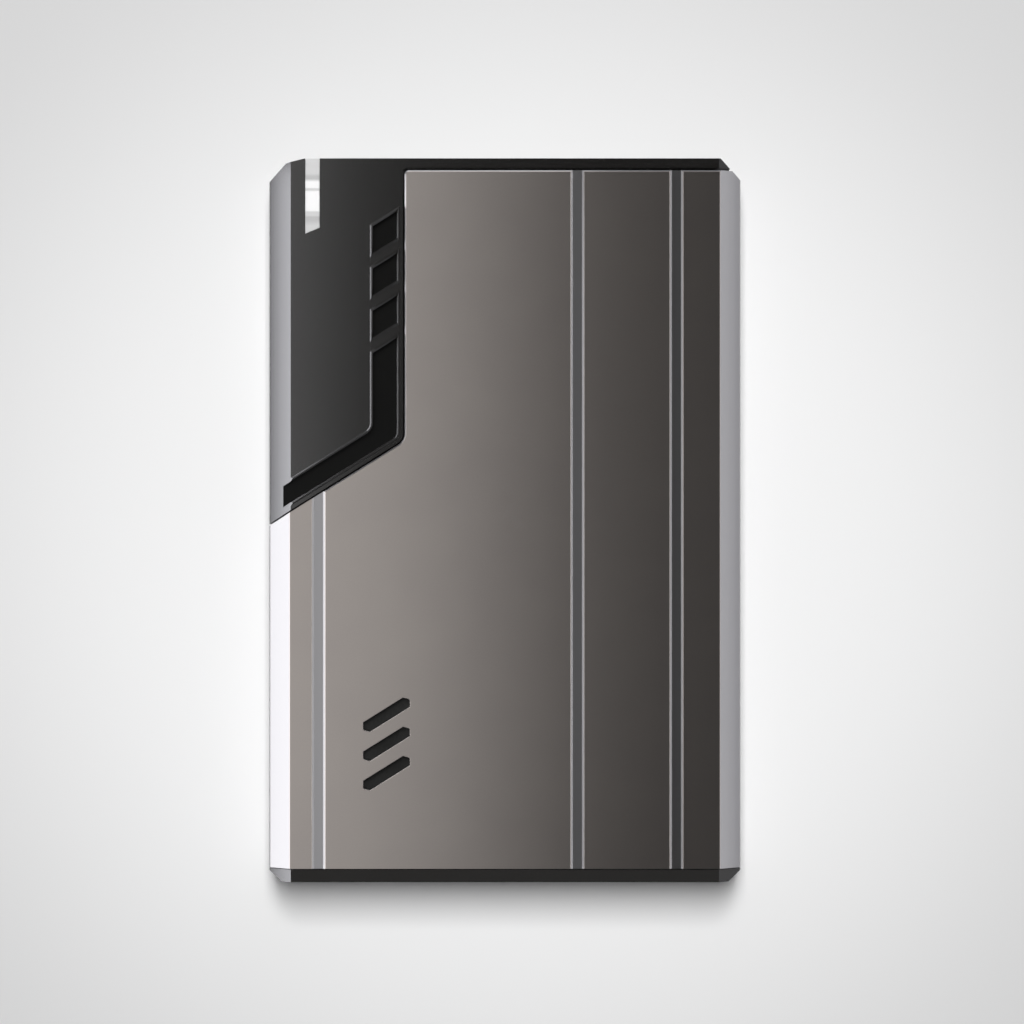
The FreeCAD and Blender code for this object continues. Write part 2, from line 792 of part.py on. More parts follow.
def make_window_backer():
    """Plate under the windows, lapped under the sleeve's edge, with a tongue to the bent window's tip."""
    body = new_body("window_backer")
    left = "fit_gap - cover_flat"
    right = "window_right + backer_lap"
    inner = "window_left - backer_margin"
    tip = "band_tip + fit_gap"
    outline = [
        (inner, "window_top + backer_margin"),
        (inner, band_y(inner, "band_width", "backer_margin")),
        (left, band_y(left, "band_width", "backer_margin")),
        (left, band_y(left, "band_width", "-fit_gap")),
        (tip, band_y(tip, "band_width", "-fit_gap")),
        (tip, band_y(tip, "0", "fit_gap")),
        (left, band_y(left, "0", "fit_gap")),
        (left, band_y(left, "0", "-backer_lap")),
        (right, band_y(right, "0", "-backer_lap")),
        (right, "window_top + backer_margin"),
    ]
    pad(body, "plate", "plan", [outline], "cover_under - backer_thickness", "cover_under")


def pipe_outline(gap):
    """Plan of the light bar on the face, with its slanted lower end, set in by a gap."""
    left = f"pipe_x + {gap}"
    right = f"pipe_x + pipe_width - {gap}"
    foot = f"head_end - pipe_length + {gap}"
    return [
        (left, foot),
        (right, f"{foot} + pipe_width * tan(pipe_slant * 1 deg)"),
        (right, "head_end"),
        (left, "head_end"),
    ]


def make_light_pipe():
    """Clear bar on the face that turns down the end plate to the light source."""
    body = new_body("light_pipe")
    top = "cap_top"
    pad(body, "bar", "plan", [pipe_outline("fit_gap")], f"{top} - pipe_depth", top)
    back = "plug_face + fit_gap"
    across = ("pipe_x + fit_gap", "pipe_x + pipe_width - fit_gap")
    pad(body, "drop", "plan", [rectangle(across, (back, "head_end"))], "board_top + fit_gap", top)
    facet = [
        ("head_end - pipe_facet", top),
        ("head_end + pipe_facet", f"{top} - 2 * pipe_facet_drop"),
        ("head_end + pipe_facet", top),
    ]
    pocket(body, "facet", "side", [facet], "pipe_x", "pipe_x + pipe_width")


def make_tail_cap():
    """End plate with two clipped corners and a plug inside the sleeve."""
    body = new_body("tail_cap")
    face = "sleeve_tail - tail_seam"
    pad(body, "end_plate", "section", [case_section("cap_drop", "0")], "-head_end", face)
    pad(body, "plug", "section", plug_section(), face, "sleeve_tail + tail_plug")
    corners = []
    for sign in ("", "-"):
        corners.append([
            (f"{sign}(half_width - tail_corner_run)", "-head_end"),
            (f"{sign}(half_width)", "-head_end"),
            (f"{sign}(half_width)", "tail_corner_drop - head_end"),
        ])
    pocket(body, "clipped_corners", "plan", corners, "0", "case_height")
    break_edges(body, "side_edges", "side_break", on_side("cap_foot"))


def make_vent_screen():
    """Black screen stuck behind the slanted slots."""
    body = new_body("vent_screen")
    left = "slot_from_left - half_width - slot_span / 2 - screen_margin"
    right = "slot_from_left - half_width + slot_span / 2 + screen_margin"
    across = "(slot_span + 2 * screen_margin)"
    middle = "slot_from_tail - head_end - slot_width / 2 / slant_cos"
    foot = f"{middle} - {across} / 2 * slant_rise - screen_margin"
    height = f"slot_width / slant_cos + 2 * screen_margin + {SLOTS - 1} * slot_pitch"
    outline = parallelogram((left, right), foot, f"{across} * slant_rise", height)
    under = "case_height - face_wall"
    pad(body, "screen", "plan", [outline], f"{under} - screen_thickness", under)


def make_drive_tray():
    """Trough that slides in the sleeve: drive between its walls, board on two bosses."""
    body = new_body("drive_tray")
    top = "drive_floor + tray_rise"
    right = [
        ("tray_foot", "face_wall"),
        ("tray_outer", "face_wall + (tray_outer - tray_foot) * bevel_slope"),
        ("tray_outer", top),
        ("tray_inner", top),
        ("tray_inner", "floor_top"),
    ]
    left = [("-" + x, z) for x, z in reversed(right)]
    pad(body, "trough", "section", [right + left], "tray_tail", "tray_head")
    window = rectangle(
        mirrored("tray_inner - tray_window_side"),
        ("tray_tail + tray_window_end", "tray_head - tray_window_end"),
        "tray_window_corner",
    )
    pocket(body, "floor_window", "plan", [window], "face_wall", "floor_top")
    bosses = [("-boss_x", "boss_y", "boss_radius"), ("boss_x", "boss_y", "boss_radius")]
    pad(body, "bosses", "plan", bosses, "floor_top", "board_floor")
    radius = "board_screw_radius + screw_shank_gap"
    bores = [("-boss_x", "boss_y", radius), ("boss_x", "boss_y", radius)]
    pocket(body, "boss_bores", "plan", bores, "face_wall", "board_floor")
    shanks = [(y, z, "drive_hole_radius") for y, z in drive_hole_places()]
    pocket(body, "screw_holes", "side", shanks, "-tray_outer", "tray_outer")
    heads = [(y, z, "drive_screw_head + screw_head_gap") for y, z in drive_hole_places()]
    sunk = "(drive_screw_head_height + screw_head_gap)"
    pocket(body, "right_screw_seats", "side", heads, f"tray_outer - {sunk}", "tray_outer")
    pocket(body, "left_screw_seats", "side", heads, "-tray_outer", f"{sunk} - tray_outer")


def drive_hole_places():
    """Side screw places as (y, z)."""
    height = "drive_floor + drive_hole_height"
    first = "drive_head - drive_hole_head"
    return [(first, height), (f"{first} - drive_hole_pitch", height)]


def make_drive_screws():
    """Four screws through the tray's walls into the drive."""
    screws = []
    seat = "tray_outer - drive_screw_head_height - screw_head_gap"
    head = f"{seat} + drive_screw_head_height"
    tip = "drive_half - drive_screw_reach"
    shank = "drive_hole_radius - screw_shank_gap"
    for i, (y, z) in enumerate(drive_hole_places()):
        for side, spans in (("right", ((seat, head), (tip, seat))),
                            ("left", ((f"-({head})", f"-({seat})"), (f"-({seat})", f"-({tip})")))):
            name = f"drive_screw_{side}_{i}"
            crown = rod(name + "_head", "drive_screw_head", *spans[0], y=y, z=z, sideways=True)
            stem = rod(name + "_shank", shank, *spans[1], y=y, z=z, sideways=True)
            screws.append(fuse(name, [crown, stem]))
    group("drive_screws", screws)


def make_pads_and_foam():
    """Rubber under the drive's corners, foam behind it and above it."""
    pads = []
    inner = "drive_half - pad_inset - pad_size"
    outer = "drive_half - pad_inset"
    for end, y in (("tail", ("tray_tail + pad_inset", "tray_tail + pad_inset + pad_size")),
                   ("head", ("drive_head - pad_inset - pad_size", "drive_head - pad_inset"))):
        for side, x in (("left", (f"-({outer})", f"-({inner})")), ("right", (inner, outer))):
            pads.append(block(f"pad_{end}_{side}", x, y, ("floor_top", "drive_floor")))
    group("shock_pads", pads)
    middle = "drive_floor + drive_height / 2"
    strip = block(
        "tail_foam",
        mirrored("tail_foam_width / 2"),
        ("sleeve_tail - tail_seam", "drive_tail"),
        (f"{middle} - tail_foam_height / 2", f"{middle} + tail_foam_height / 2"),
    )
    nodes.append(strip)
    strips = []
    for i, x in enumerate(("half_width - groove_mid", "half_width - groove_right")):
        strips.append(block(
            f"top_foam_{i}",
            (f"{x} - top_foam_width / 2", f"{x} + top_foam_width / 2"),
            ("spindle_y - top_foam_length / 2", "spindle_y + top_foam_length / 2"),
            ("drive_top", "case_height - face_wall"),
        ))
    group("top_foam", strips)


def make_bridge_board():
    """Board with two screw holes, its screws, controller, crystal and light source."""
    body = new_body("bridge_board")
    outline = rectangle(mirrored("board_half"), ("board_tail", "board_head"), "board_corner")
    radius = "board_screw_radius + screw_shank_gap"
    holes = [("-boss_x", "boss_y", radius), ("boss_x", "boss_y", radius)]
    pad(body, "board", "plan", [outline] + holes, "board_floor", "board_top")
    screws = []
    for i, x in enumerate(mirrored("boss_x")):
        head = "board_top + board_screw_head_height"
        crown = rod(f"board_screw_{i}_head", "board_screw_head", "board_top", head, x, "boss_y")
        stem = rod(f"board_screw_{i}_shank", "board_screw_radius", "floor_top", "board_top", x, "boss_y")
        screws.append(fuse(f"board_screw_{i}", [crown, stem]))
    group("board_screws", screws)
    middle = "(board_tail + board_head) / 2"
    chip = new_body("bridge_chip")
    x = ("chip_from_middle - chip_size / 2", "chip_from_middle + chip_size / 2")
    y = (f"{middle} - chip_size / 2", f"{middle} + chip_size / 2")
    pad(chip, "package", "plan", [rectangle(x, y)], "board_top", "board_top + chip_height")
    can = new_body("crystal")
    x = ("-chip_from_middle - crystal_length / 2", "crystal_length / 2 - chip_from_middle")
    y = ("board_head - 2 * crystal_width", "board_head - crystal_width")
    pad(can, "can", "plan", [rectangle(x, y, "crystal_width / 4")], "board_top", "board_top + chip_height")
    led = new_body("status_led")
    x = ("led_x - led_width / 2", "led_x + led_width / 2")
    y = ("board_head - led_depth", "board_head")
    pad(led, "lamp", "plan", [rectangle(x, y)], "board_top", "board_top + led_height")


def usb_outline(inset):
    """The port's two-part outline: a wide mouth and a narrow one under one flat top."""
    low = f"board_top + {inset}"
    left = f"usb_left + {inset}"
    right = f"usb_left + usb_width - {inset}"
    notch = f"usb_left + usb_notch_left - {inset}"
    notch_end = f"usb_left + usb_notch_left + usb_notch_width + {inset}"
    return [
        (f"{left} + usb_chamfer", low),
        (notch, low),
        (f"{notch} + usb_notch_flank", f"{low} + usb_notch_height"),
        (f"{notch_end} - usb_notch_flank", f"{low} + usb_notch_height"),
        (notch_end, low),
        (f"{right} - usb_chamfer", low),
        (right, f"{low} + usb_chamfer"),
        (right, f"board_top + usb_height - {inset}"),
        (left, f"board_top + usb_height - {inset}"),
        (left, f"{low} + usb_chamfer"),
    ]


def make_usb_port():
    """Folded steel shell and the insert with its two tongues."""
    shell = new_body("usb_shell")
    back = "usb_front - usb_depth"
    pad(shell, "sheet", "section", [usb_outline("0"), usb_outline("usb_sheet")], back, "usb_front")
    insert = new_body("usb_tongue")
    fit = "(usb_sheet + fit_gap)"
    pad(insert, "rear_block", "section", [usb_outline(fit)], back, f"{back} + usb_block")
    middle = "(board_top + (usb_height + usb_notch_height) / 2)"
    z = (f"{middle} - usb_tongue_thickness / 2", f"{middle} + usb_tongue_thickness / 2")
    margin = "(usb_sheet + usb_tongue_margin)"
    wide = (f"usb_left + {margin}", f"usb_left + usb_notch_left - {margin}")
    narrow = (f"usb_left + usb_notch_left + usb_notch_width + {margin}", f"usb_left + usb_width - {margin}")
    tongues = [rectangle(wide, z), rectangle(narrow, z)]
    pad(insert, "tongues", "section", tongues, f"{back} + usb_block", "usb_front - usb_tongue_short")


def blade_spans(gap):
    """The plug's two blades across the connector, grown by a gap: signal first, then power."""
    left = "sata_x - sata_width / 2 + blade_margin"
    right = "sata_x + sata_width / 2 - blade_margin"
    key = "sata_x - sata_width / 2 + sata_key"
    signal = (f"{left} - {gap}", f"{key} + {gap}")
    power = (f"{key} + blade_gap - {gap}", f"{right} + {gap}")
    return [signal, power]


def blade_loops(gap):
    z = (f"blade_middle - blade_thickness / 2 - {gap}", f"blade_middle + blade_thickness / 2 + {gap}")
    return [rectangle(x, z) for x in blade_spans(gap)]


def make_sata_pair():
    """Socket on the bridge board and the plug in the drive's end that it takes."""
    socket = new_body("sata_socket")
    across = ("sata_x - sata_width / 2", "sata_x + sata_width / 2")
    tail = "block_head + run_gap"
    shell = rectangle(across, ("board_top", "board_top + sata_height"))
    pad(socket, "housing", "section", [shell], tail, f"{tail} + sata_length")
    deep = "drive_head - blade_recess + run_gap"
    pocket(socket, "blade_slots", "section", blade_loops("screw_shank_gap"), tail, deep)
    plug = new_body("hdd_connector")
    frame = rectangle(across, ("board_ceiling", "board_ceiling + connector_height"))
    pad(plug, "frame", "section", [frame], "notch_tail + fit_gap", "block_head")
    pad(plug, "blades", "section", blade_loops("0"), "block_head", "drive_head - blade_recess")


def cavity_loops(grow):
    """Disc well and arm bay of the drive, grown by a lip."""
    well = ("0", "spindle_y", f"well_radius + {grow}")
    bay = rectangle(mirrored(f"bay_half + {grow}"), ("spindle_y", f"bay_head + {grow}"), "bay_corner")
    return well, bay


def notch_loop():
    """Recess of the connector in the drive's head end."""
    half = "(sata_width / 2 + notch_gap)"
    x = (f"sata_x - {half}", f"sata_x + {half}")
    return rectangle(x, ("notch_tail", "drive_head + notch_gap"))


def lid_screw_places():
    """Cover screw places: the four corners and the middle of the arm bay's walls."""
    corner_x = "drive_half - lid_screw_inset"
    side_x = "drive_half - lid_screw_side"
    places = []
    for sign in ("-", ""):
        places += [
            (f"{sign}({corner_x})", "drive_tail + lid_screw_inset"),
            (f"{sign}({side_x})", "spindle_y + lid_screw_middle"),
            (f"{sign}({corner_x})", "drive_head - lid_screw_inset"),
        ]
    return places


def make_drive_housing():
    """Cast base, its seal, the pressed cover and the cover's screws."""
    base = new_body("hdd_base")
    outline = rectangle(mirrored("drive_half"), ("drive_tail", "drive_head"), "drive_corner")
    pad(base, "casting", "plan", [outline], "drive_floor", "rim")
    well, bay = cavity_loops("0")
    pocket(base, "disc_well", "plan", [well], "cavity_floor", "rim")
    pocket(base, "arm_bay", "plan", [bay], "cavity_floor", "rim")
    pocket(base, "connector_notch", "plan", [notch_loop()], "drive_floor", "rim")
    recess = rectangle(
        mirrored("drive_half - drive_board_side + run_gap"),
        ("notch_tail - drive_board_length - run_gap", "notch_tail + connector_block / 2"),
    )
    pocket(base, "board_recess", "plan", [recess], "drive_floor", "board_ceiling")
    bearing = ("0", "spindle_y", "bearing_radius + fit_gap")
    pocket(base, "bearing_bore", "plan", [bearing], "drive_floor", "cavity_floor")
    holes = [(y, z, "drive_hole_radius") for y, z in drive_hole_places()]
    pocket(base, "right_holes", "side", holes, "drive_half - drive_hole_depth", "drive_half")
    pocket(base, "left_holes", "side", holes, "-drive_half", "drive_hole_depth - drive_half")
    screws = [(x, y, "lid_screw_radius + screw_shank_gap") for x, y in lid_screw_places()]
    pocket(base, "lid_screw_bores", "plan", screws, "rim - lid_screw_length", "rim")

    seal = new_body("hdd_gasket")
    border = rectangle(
        mirrored("drive_half - gasket_inset"),
        ("drive_tail + gasket_inset", "notch_tail - gasket_inset"),
        "drive_corner",
    )
    pad(seal, "sheet", "plan", [border], "rim", "lid_floor")
    well, bay = cavity_loops("gasket_lip")
    pocket(seal, "well_opening", "plan", [well], "rim", "lid_floor")
    pocket(seal, "bay_opening", "plan", [bay], "rim", "lid_floor")
    pocket(seal, "screw_openings", "plan", screws, "rim", "lid_floor")

    lid = new_body("hdd_cover")
    edge = rectangle(
        mirrored("drive_half - lid_inset"),
        ("drive_tail + lid_inset", "drive_head - lid_inset"),
        "drive_corner",
    )
    pad(lid, "sheet", "plan", [edge], "lid_floor", "lid_floor + lid_sheet")
    panel = rectangle(
        mirrored("drive_half - lid_border"),
        ("drive_tail + lid_border", "drive_head - lid_border"),
        "lid_border",
    )
    pad(lid, "raised_panel", "plan", [panel], "lid_floor + lid_sheet", "lid_top")
    pocket(lid, "lid_screw_holes", "plan", screws, "lid_floor", "lid_floor + lid_sheet")

    fixings = []
    for i, (x, y) in enumerate(lid_screw_places()):
        seat = "lid_floor + lid_sheet"
        crown = rod(f"lid_screw_{i}_head", "lid_screw_head", seat, "lid_top", x, y)
        tip = "rim - lid_screw_length + screw_shank_gap"
        stem = rod(f"lid_screw_{i}_shank", "lid_screw_radius", tip, seat, x, y)
        fixings.append(fuse(f"lid_screw_{i}", [crown, stem]))
    group("hdd_cover_screws", fixings)


def make_drive_board():
    """Circuit board under the base, below the connector's frame."""
    body = new_body("hdd_board")
    outline = rectangle(
        mirrored("drive_half - drive_board_side"),
        ("notch_tail - drive_board_length", "notch_tail"),
        "board_corner",
    )
    low = "board_ceiling - drive_board_thickness"
    pad(body, "board", "plan", [outline], low, "board_ceiling")
    across = ("sata_x - sata_width / 2", "sata_x + sata_width / 2")
    foot = rectangle(across, ("notch_tail - board_corner", "block_head"))
    pad(body, "connector_foot", "plan", [foot], low, "board_ceiling")


def make_spindle():
    """Fixed bearing with its stator; hub, disc, clamp and screw turn on it."""
    foot = "drive_floor + bearing_foot"
    bore = "shaft_radius + bearing_gap"
    revolved("spindle_motor", [
        ("0", foot),
        ("bearing_radius", foot),
        ("bearing_radius", "cavity_floor"),
        ("stator_radius", "cavity_floor"),
        ("stator_radius", "stator_top"),
        (bore, "stator_top"),
        (bore, f"{foot} + bearing_cap"),
        ("0", f"{foot} + bearing_cap"),
    ], y="spindle_y")
    shaft_end = f"{foot} + bearing_cap + screw_shank_gap"
    bore_end = "platter_top - clamp_screw_depth"
    screw_bore = "clamp_screw_radius + fit_gap"
    revolved("spindle_hub", [
        ("0", shaft_end),
        ("shaft_radius", shaft_end),
        ("shaft_radius", "stator_top + run_gap"),
        ("hub_flange", "stator_top + run_gap"),
        ("hub_flange", "platter_floor"),
        ("hub_radius", "platter_floor"),
        ("hub_radius", "platter_top"),
        (screw_bore, "platter_top"),
        (screw_bore, bore_end),
        ("0", bore_end),
    ], y="spindle_y")
    revolved("platter", [
        ("hub_radius + fit_gap", "platter_floor"),
        ("platter_radius", "platter_floor"),
        ("platter_radius", "platter_top"),
        ("hub_radius + fit_gap", "platter_top"),
    ], y="spindle_y")
    clamp_top = "platter_top + clamp_thickness"
    clamp = revolved("disc_clamp", [
        (screw_bore, "platter_top"),
        ("hub_flange", "platter_top"),
        ("hub_flange", "platter_top + clamp_thickness / 2"),
        ("hub_radius", clamp_top),
        (screw_bore, clamp_top),
    ], y="spindle_y")
    bore = ("clamp_hole_ring", "0", "clamp_hole")
    hole = pocket(clamp, "spring_hole", "plan", [bore], "platter_top", clamp_top)
    ring = clamp.newObject("PartDesign::PolarPattern", "spring_holes")
    ring.Originals = [hole]
    ring.Axis = (hole.Profile[0], ["N_Axis"])
    ring.Angle = 360
    ring.Occurrences = CLAMP_HOLES
    clamp.Tip = ring
    revolved("clamp_screw", [
        ("0", f"{bore_end} + screw_shank_gap"),
        ("clamp_screw_radius", f"{bore_end} + screw_shank_gap"),
        ("clamp_screw_radius", clamp_top),
        ("clamp_screw_head", clamp_top),
        ("clamp_screw_head", f"{clamp_top} + clamp_screw_head_height"),
        ("0", f"{clamp_top} + clamp_screw_head_height"),
    ], y="spindle_y")


def make_actuator():
    """Post, arm with two blades and a fork, coil in the fork and a head under each blade's tip."""
    revolved("pivot_post", [
        ("0", "cavity_floor"),
        ("pivot_flange", "cavity_floor"),
        ("pivot_flange", "cavity_floor + pivot_flange_height"),
        ("pivot_radius", "cavity_floor + pivot_flange_height"),
        ("pivot_radius", "arm_high"),
        ("0", "arm_high"),
    ], x="pivot_x", y="pivot_y")

    arm = new_body("actuator_arm")
    pad(arm, "hub", "plan", [("0", "0", "arm_hub")], "arm_low", "arm_high")
    tip = "-arm_length - arm_tip"
    blade = [
        ("0", "arm_root_width / 2"),
        (tip, "arm_tip_width / 2"),
        (tip, "-arm_tip_width / 2"),
        ("0", "-arm_root_width / 2"),
    ]
    pad(arm, "lower_blade", "plan", [blade], "arm_low", "arm_low + arm_thickness")
    pad(arm, "upper_blade", "plan", [blade], "arm_high - arm_thickness", "arm_high")
    fork = []
    for sign in ("", "-"):
        along = ("cos(fork_turn * 1 deg)", f"{sign}sin(fork_turn * 1 deg)")
        across = (f"{sign}sin(fork_turn * 1 deg) * fork_width / 2", "cos(fork_turn * 1 deg) * fork_width / 2")
        fork.append([
            (f"pivot_radius * {along[0]} + {across[0]}", f"pivot_radius * {along[1]} - {across[1]}"),
            (f"coil_outer * {along[0]} + {across[0]}", f"coil_outer * {along[1]} - {across[1]}"),
            (f"coil_outer * {along[0]} - {across[0]}", f"coil_outer * {along[1]} + {across[1]}"),
            (f"pivot_radius * {along[0]} - {across[0]}", f"pivot_radius * {along[1]} + {across[1]}"),
        ])
    pad(arm, "fork_left", "plan", [fork[0]], "platter_floor", "platter_top")
    pad(arm, "fork_right", "plan", [fork[1]], "platter_floor", "platter_top")
    pocket(arm, "pivot_bore", "plan", [("0", "0", "pivot_radius + bearing_gap")], "arm_low", "arm_high")
    place(arm, "pivot_x", "pivot_y", turn="park_turn")

    coil = new_body("voice_coil")
    loops = [coil_outline("0"), coil_outline("coil_band")]
    pad(coil, "winding", "plan", loops, "platter_floor", "platter_top")
    place(coil, "pivot_x", "pivot_y", turn="park_turn")

    heads = []
    x = ("-arm_length - slider_length / 2", "slider_length / 2 - arm_length")
    y = mirrored("slider_width / 2")
    above = "arm_high - arm_thickness"
    below = "arm_low + arm_thickness"
    heads.append(block("upper_head", x, y, (f"{above} - slider_height", above)))
    heads.append(block("lower_head", x, y, (below, f"{below} + slider_height")))
    sliders = group("head_sliders", heads)
    place(sliders, "pivot_x", "pivot_y", turn="park_turn")


def coil_outline(inset):
    """The coil's outline between the fork's two arms, set in by a band."""
    corners = []
    for x, sign in (("coil_inner", "-"), ("coil_outer", "-"), ("coil_outer", ""), ("coil_inner", "")):
        edge = f"({x} + {inset})" if x == "coil_inner" else f"({x} - {inset})"
        half = f"({edge} * tan(fork_turn * 1 deg) - (fork_width / 2 + {inset}) / cos(fork_turn * 1 deg))"
        corners.append((edge, sign + half, "coil_corner"))
    return corners


def make_arm_motor():
    """Magnet on the floor under the coil's sweep, and the plate over it on two posts."""
    turn = "(2 * fork_turn + swing)"
    middle = "park_turn + swing / 2"
    top = "cavity_floor + magnet_thickness"
    magnet = cut(
        "lower_magnet",
        sector("magnet_slice", "magnet_reach", turn, "cavity_floor", top),
        rod("magnet_heart", "magnet_inner", "cavity_floor", top),
    )
    place(magnet, "pivot_x", "pivot_y", turn=middle)
    nodes.append(magnet)

    low = "platter_top + yoke_gap"
    high = f"{low} + yoke_thickness"
    plate = cut(
        "yoke_plate",
        sector("yoke_slice", "yoke_reach", turn, low, high),
        rod("yoke_heart", "magnet_inner", low, high),
    )
    posts = []
    for i, sign in enumerate(("", "-")):
        x = "yoke_post_ring * cos(fork_turn * 1 deg)"
        y = f"{sign}yoke_post_ring * sin(fork_turn * 1 deg)"
        posts.append(rod(f"yoke_post_{i}", "yoke_post", "cavity_floor", high, x, y))
    yoke = fuse("magnet_yoke", [plate] + posts)
    place(yoke, "pivot_x", "pivot_y", turn=middle)
    nodes.append(yoke)


def make_ramp_and_filter():
    """Ramp between the parked heads, on a block beside them, and the air filter in the bay's corner."""
    ramp = new_body("parking_ramp")
    x = ("-arm_length - ramp_length / 2", "ramp_length / 2 - arm_length")
    behind = ("ramp_back", "ramp_back + ramp_width")
    low = "arm_low + arm_thickness + slider_height + ramp_gap"
    high = "arm_high - arm_thickness - slider_height - ramp_gap"
    pad(ramp, "block", "plan", [rectangle(x, behind)], "cavity_floor", high)
    tongue = rectangle(x, ("-ramp_tongue", "ramp_back"))
    pad(ramp, "tongue", "plan", [tongue], low, high)
    place(ramp, "pivot_x", "pivot_y", turn="park_turn")

    body = new_body("air_filter")
    left = "filter_gap - bay_half"
    head = "bay_head - bay_corner"
    outline = rectangle((left, f"{left} + filter_width"), (f"{head} - filter_length", head))
    pad(body, "filter", "plan", [outline], "cavity_floor", "cavity_floor + filter_height")


def check_document():
    """Stop if an object failed, a pocket missed its solid, or a sub-part has no sound shape."""
    for item in document.Objects:
        if {"Invalid", "Error"} & set(item.State):
            raise RuntimeError(f"{item.Label} failed: {item.State}")
        if item.TypeId == "PartDesign::Pocket":
            removed = item.BaseFeature.Shape.Volume - item.Shape.Volume
            if removed <= 0:
                raise RuntimeError(f"{item.Label} cuts nothing")
    for node in nodes:
        if node.Shape.isNull() or not node.Shape.isValid():
            raise RuntimeError(f"{node.Label} has no sound shape")


make_sleeve()
make_head_cap()
make_window_backer()
make_light_pipe()
make_tail_cap()
make_vent_screen()
make_drive_tray()
make_drive_screws()
make_pads_and_foam()
make_bridge_board()
make_usb_port()
make_sata_pair()
make_drive_housing()
make_drive_board()
make_spindle()
make_actuator()
make_arm_motor()
make_ramp_and_filter()
document.recompute()
check_document()

os.makedirs("parts", exist_ok=True)
for node in nodes:
    node.Shape.exportStep(f"parts/{node.Label}.step")
    print(f"{node.Label}: {len(node.Shape.Solids)} solid, {node.Shape.Volume:.1f} mm3")
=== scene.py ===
import bpy
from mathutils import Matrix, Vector


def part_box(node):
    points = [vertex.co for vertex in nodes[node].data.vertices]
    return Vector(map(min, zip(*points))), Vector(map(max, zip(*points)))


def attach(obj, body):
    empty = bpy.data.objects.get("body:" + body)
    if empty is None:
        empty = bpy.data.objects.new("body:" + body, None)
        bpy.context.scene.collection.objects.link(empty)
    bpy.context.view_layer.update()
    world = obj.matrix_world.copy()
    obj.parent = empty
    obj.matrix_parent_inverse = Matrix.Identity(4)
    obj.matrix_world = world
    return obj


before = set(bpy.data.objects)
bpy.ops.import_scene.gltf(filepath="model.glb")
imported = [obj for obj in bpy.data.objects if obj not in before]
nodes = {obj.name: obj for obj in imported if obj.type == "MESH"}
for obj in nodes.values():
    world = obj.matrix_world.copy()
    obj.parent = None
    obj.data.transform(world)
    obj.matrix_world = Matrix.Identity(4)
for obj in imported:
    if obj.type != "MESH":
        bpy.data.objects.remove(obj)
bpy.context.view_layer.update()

mm = 0.001
print("frame loaded:", len(nodes), "nodes")


# sRGB hex to linear light; the numbers are the sRGB formula's own
def linear(hexColour):
    channels = [int(hexColour[i:i + 2], 16) / 255 for i in (1, 3, 5)]
    return [c / 12.92 if c <= 0.04045 else ((c + 0.055) / 1.055) ** 2.4 for c in channels] + [1.0]


# one node with its settings, and its inputs as values or links
def addNode(tree, kind, inputs=None, **settings):
    node = tree.nodes.new(kind)
    for name, setting in settings.items():
        setattr(node, name, setting)
    for socket, content in (inputs or {}).items():
        if isinstance(content, bpy.types.NodeSocket):
            tree.links.new(content, node.inputs[socket])
        else:
            node.inputs[socket].default_value = content
    return node


# camera: straight down on the face, the head end at the top of the picture; mm
cameraSettings = {"aim": (1.19, 1.38), "level": 12.0, "distance": 600.0, "span": 171.1, "sensor": 36.0,
                  "nearest": 10.0}


def placeCamera(settings):
    lens = bpy.data.cameras.new("camera")
    lens.sensor_width = settings["sensor"]
    lens.lens = settings["sensor"] * settings["distance"] / settings["span"]
    lens.clip_start = settings["nearest"] * mm
    camera = bpy.data.objects.new("camera", lens)
    bpy.context.scene.collection.objects.link(camera)
    x, y = settings["aim"]
    camera.location = (x * mm, y * mm, (settings["level"] + settings["distance"]) * mm)
    bpy.context.scene.camera = camera
    print("camera lens:", round(lens.lens, 1))


placeCamera(cameraSettings)

